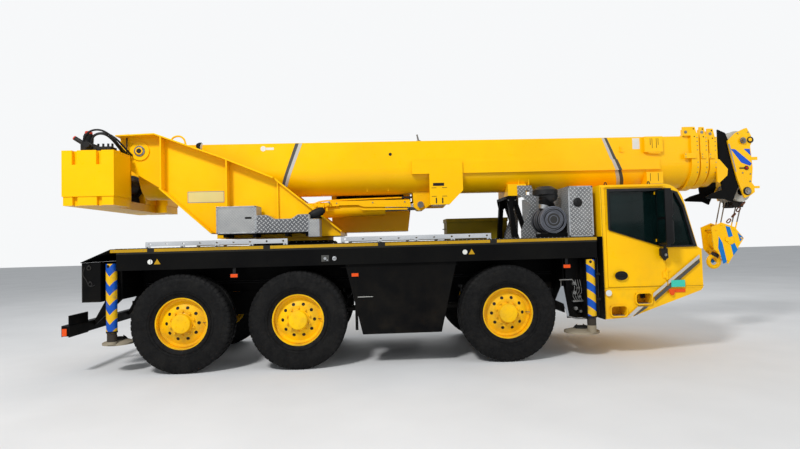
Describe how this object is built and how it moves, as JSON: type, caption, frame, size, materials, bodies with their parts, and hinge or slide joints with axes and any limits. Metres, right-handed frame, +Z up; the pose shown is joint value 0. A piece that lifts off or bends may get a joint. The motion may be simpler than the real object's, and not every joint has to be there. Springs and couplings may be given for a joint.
{
  "type": "three-axle mobile crane",
  "caption": "Road-going telescopic mobile crane: wheeled carrier with outriggers and a wide front cab, slewing superstructure with luffing boom, counterweight and hook block.",
  "frame": {"origin": "on the ground under the middle of the crane's overall length and width", "axes": "+X to the crane's nose along its length, +Y to its left, +Z up"},
  "size_m": [10.652, 3.12, 3.478],
  "materials": {
    "body_yellow": "gloss chrome-yellow paint",
    "wheel_yellow": "satin yellow paint with brake dust",
    "tyre": "worn black rubber",
    "dark_steel": "dark painted castings",
    "chassis_black": "black chassis paint",
    "deck_grey": "dark deck plate",
    "rail_metal": "bare aluminium",
    "tread_plate": "five-bar tread plate",
    "filter_grey": "blue-grey moulding",
    "stripe_paint": "blue and yellow warning stripes",
    "pad_cream": "cream paint, worn",
    "olive": "olive yellow paint",
    "glass_dark": "dark tinted glass",
    "trim_black": "black cab trim",
    "seat_fabric": "dark seat cloth",
    "lamp_orange": "orange lens",
    "rod_chrome": "polished rod"
  },
  "bodies": {
    "carrier": {"air_intake": "filter_grey", "axles": "dark_steel", "boom_rest": "chassis_black", "cab_floor": "body_yellow", "cab_glazing": "glass_dark", "cab_interior": "trim_black", "cab_shell": "body_yellow", "chassis": "chassis_black", "deck": "deck_grey", "deck_rails": "rail_metal", "driveline": "dark_steel", "engine_housing": "tread_plate", "lamps": "lamp_orange", "side_tanks": "chassis_black", "storage_box": "olive"},
    "wheel_rear_right": {"tyre_rear_right": "tyre", "rim_rear_right": "wheel_yellow"},
    "knuckle_rear_right_body": {"knuckle_rear_right": "dark_steel"},
    "wheel_rear_left": {"tyre_rear_left": "tyre", "rim_rear_left": "wheel_yellow"},
    "knuckle_rear_left_body": {"knuckle_rear_left": "dark_steel"},
    "wheel_mid_right": {"tyre_mid_right": "tyre", "rim_mid_right": "wheel_yellow"},
    "wheel_mid_left": {"tyre_mid_left": "tyre", "rim_mid_left": "wheel_yellow"},
    "wheel_front_right": {"tyre_front_right": "tyre", "rim_front_right": "wheel_yellow"},
    "knuckle_front_right_body": {"knuckle_front_right": "dark_steel"},
    "wheel_front_left": {"tyre_front_left": "tyre", "rim_front_left": "wheel_yellow"},
    "knuckle_front_left_body": {"knuckle_front_left": "dark_steel"},
    "beam_rear_right": {"outrigger_beam_rear_right": "stripe_paint"},
    "jack_rear_right": {"outrigger_jack_rear_right": "pad_cream"},
    "beam_rear_left": {"outrigger_beam_rear_left": "stripe_paint"},
    "jack_rear_left": {"outrigger_jack_rear_left": "pad_cream"},
    "beam_front_right": {"outrigger_beam_front_right": "stripe_paint"},
    "jack_front_right": {"outrigger_jack_front_right": "pad_cream"},
    "beam_front_left": {"outrigger_beam_front_left": "stripe_paint"},
    "jack_front_left": {"outrigger_jack_front_left": "pad_cream"},
    "door_right": {"cab_door_right": "body_yellow", "door_glass_right": "glass_dark"},
    "door_left": {"cab_door_left": "body_yellow", "door_glass_left": "glass_dark"},
    "superstructure": {"upper_frame": "body_yellow", "counterweight": "body_yellow", "winch": "dark_steel", "side_boxes": "tread_plate", "cabin_shell": "body_yellow", "cabin_glazing": "glass_dark", "cabin_seat": "seat_fabric"},
    "cabin_door_panel": {"cabin_door": "body_yellow", "cabin_door_glass": "glass_dark"},
    "boom": {"boom_base": "body_yellow"},
    "section_1": {"boom_section_1": "body_yellow"},
    "section_2": {"boom_section_2": "body_yellow"},
    "section_3": {"boom_section_3": "body_yellow", "boom_head": "body_yellow"},
    "barrel": {"luff_barrel": "body_yellow"},
    "rod": {"luff_rod": "rod_chrome"},
    "hook": {"hook_block": "body_yellow"}
  },
  "joints": [
    {"name": "steer_rear_right", "type": "hinge", "parent": "carrier", "child": "knuckle_rear_right_body", "pos_m": [-3.694, -0.868, 0.685], "axis": [0, 0, 1], "range_deg": [-20, 20]},
    {"name": "spin_rear_right", "type": "hinge", "parent": "knuckle_rear_right_body", "child": "wheel_rear_right", "pos_m": [-3.694, -1.083, 0.685], "axis": [0, 1, 0], "continuous": true},
    {"name": "steer_rear_left", "type": "hinge", "parent": "carrier", "child": "knuckle_rear_left_body", "pos_m": [-3.694, 0.868, 0.685], "axis": [0, 0, 1], "range_deg": [-20, 20]},
    {"name": "spin_rear_left", "type": "hinge", "parent": "knuckle_rear_left_body", "child": "wheel_rear_left", "pos_m": [-3.694, 1.083, 0.685], "axis": [0, 1, 0], "continuous": true},
    {"name": "spin_mid_right", "type": "hinge", "parent": "carrier", "child": "wheel_mid_right", "pos_m": [-2.093, -1.083, 0.685], "axis": [0, 1, 0], "continuous": true},
    {"name": "spin_mid_left", "type": "hinge", "parent": "carrier", "child": "wheel_mid_left", "pos_m": [-2.093, 1.083, 0.685], "axis": [0, 1, 0], "continuous": true},
    {"name": "steer_front_right", "type": "hinge", "parent": "carrier", "child": "knuckle_front_right_body", "pos_m": [0.869, -0.868, 0.685], "axis": [0, 0, 1], "range_deg": [-34, 34]},
    {"name": "spin_front_right", "type": "hinge", "parent": "knuckle_front_right_body", "child": "wheel_front_right", "pos_m": [0.869, -1.083, 0.685], "axis": [0, 1, 0], "continuous": true},
    {"name": "steer_front_left", "type": "hinge", "parent": "carrier", "child": "knuckle_front_left_body", "pos_m": [0.869, 0.868, 0.685], "axis": [0, 0, 1], "range_deg": [-34, 34]},
    {"name": "spin_front_left", "type": "hinge", "parent": "knuckle_front_left_body", "child": "wheel_front_left", "pos_m": [0.869, 1.083, 0.685], "axis": [0, 1, 0], "continuous": true},
    {"name": "extend_rear_right", "type": "slide", "parent": "carrier", "child": "beam_rear_right", "axis": [0, -1, 0], "range_m": [0, 1.75]},
    {"name": "jack_down_rear_right", "type": "slide", "parent": "beam_rear_right", "child": "jack_rear_right", "axis": [0, 0, -1], "range_m": [0, 0.55]},
    {"name": "extend_rear_left", "type": "slide", "parent": "carrier", "child": "beam_rear_left", "axis": [0, 1, 0], "range_m": [0, 1.75]},
    {"name": "jack_down_rear_left", "type": "slide", "parent": "beam_rear_left", "child": "jack_rear_left", "axis": [0, 0, -1], "range_m": [0, 0.55]},
    {"name": "extend_front_right", "type": "slide", "parent": "carrier", "child": "beam_front_right", "axis": [0, -1, 0], "range_m": [0, 1.75]},
    {"name": "jack_down_front_right", "type": "slide", "parent": "beam_front_right", "child": "jack_front_right", "axis": [0, 0, -1], "range_m": [0, 0.55]},
    {"name": "extend_front_left", "type": "slide", "parent": "carrier", "child": "beam_front_left", "axis": [0, 1, 0], "range_m": [0, 1.75]},
    {"name": "jack_down_front_left", "type": "slide", "parent": "beam_front_left", "child": "jack_front_left", "axis": [0, 0, -1], "range_m": [0, 0.55]},
    {"name": "slew", "type": "hinge", "parent": "carrier", "child": "superstructure", "pos_m": [-2.294, 0, 1.8], "axis": [0, 0, 1], "continuous": true},
    {"name": "luff", "type": "hinge", "parent": "superstructure", "child": "boom", "pos_m": [-4.504, 0, 3.21], "axis": [0, -1, 0], "range_deg": [0, 80]},
    {"name": "barrel_swing", "type": "hinge", "parent": "superstructure", "child": "barrel", "pos_m": [-3.294, 0, 2.25], "axis": [0, -1, 0], "range_deg": [0, 84.5]},
    {"name": "rod_stroke", "type": "slide", "parent": "barrel", "child": "rod", "axis": [0.9996, 0, 0.0279], "range_m": [0, 1.98]},
    {"name": "extend_1", "type": "slide", "parent": "boom", "child": "section_1", "axis": [1, 0, 0], "range_m": [0, 7.1]},
    {"name": "extend_2", "type": "slide", "parent": "section_1", "child": "section_2", "axis": [1, 0, 0], "range_m": [0, 7.1]},
    {"name": "extend_3", "type": "slide", "parent": "section_2", "child": "section_3", "axis": [1, 0, 0], "range_m": [0, 7.1]},
    {"name": "hook_swing", "type": "hinge", "parent": "section_3", "child": "hook", "pos_m": [5.106, 0, 2.42], "axis": [0, 1, 0], "range_deg": [-2, 56]},
    {"name": "open_door_right", "type": "hinge", "parent": "carrier", "child": "door_right", "pos_m": [3.174, -1.2893, 1.7], "axis": [0, 0, 1], "range_deg": [0, 65]},
    {"name": "open_door_left", "type": "hinge", "parent": "carrier", "child": "door_left", "pos_m": [3.174, 1.2893, 1.7], "axis": [0, 0, -1], "range_deg": [0, 65]},
    {"name": "slide_cabin_door", "type": "slide", "parent": "superstructure", "child": "cabin_door_panel", "axis": [-1, 0, 0], "range_m": [0, 0.6]}
  ],
  "couplings": [
    {"joint": "steer_front_left", "follows": "steer_front_right", "ratio": 1},
    {"joint": "steer_rear_left", "follows": "steer_rear_right", "ratio": 1},
    {"joint": "barrel_swing", "follows": "luff", "ratio": 1.0491},
    {"joint": "rod_stroke", "follows": "luff", "m_per_rad": 1.4091},
    {"joint": "extend_2", "follows": "extend_1", "ratio": 1},
    {"joint": "extend_3", "follows": "extend_1", "ratio": 1},
    {"joint": "hook_swing", "follows": "luff", "ratio": 0.68}
  ]
}
